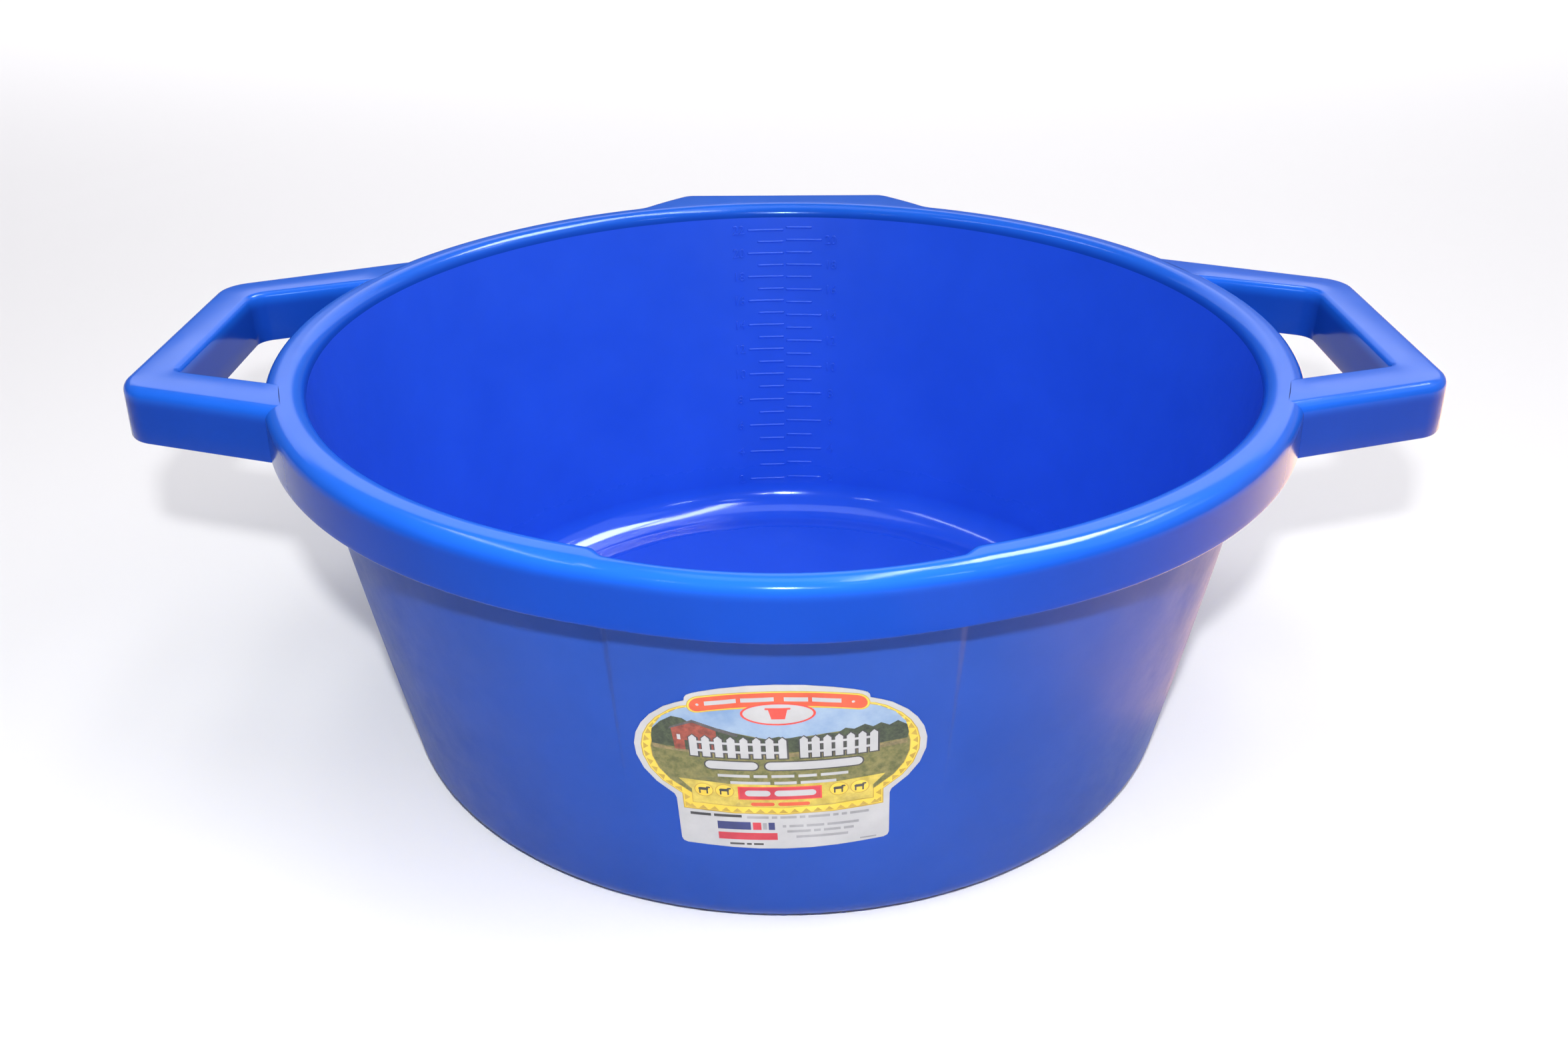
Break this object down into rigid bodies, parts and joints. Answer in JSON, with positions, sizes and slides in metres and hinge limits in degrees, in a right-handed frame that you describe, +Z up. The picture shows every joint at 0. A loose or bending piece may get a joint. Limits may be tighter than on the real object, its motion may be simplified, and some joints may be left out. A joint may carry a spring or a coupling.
{
  "type": "feed pan",
  "caption": "Round blue plastic feed pan with sloping sides, a turned-down rim, two loop handles, a pouring spout and raised graduations inside.",
  "frame": {"origin": "on the pan's own axis, in the plane of its foot", "axes": "+Z up out of the bowl; -Y towards the pouring spout and the label; +X along the two handles, towards the right one as seen from the spout"},
  "size_m": [0.569, 0.4749, 0.188],
  "materials": {
    "moulding": "glossy moulded polyethylene, royal blue",
    "label": "printed white vinyl sticker"
  },
  "bodies": {
    "root": {"pan_floor": "moulding", "foot_ring": "moulding", "pan_wall": "moulding", "rim": "moulding", "rear_grip": "moulding", "right_handle": "moulding", "left_handle": "moulding", "front_label": "label"}
  },
  "joints": []
}
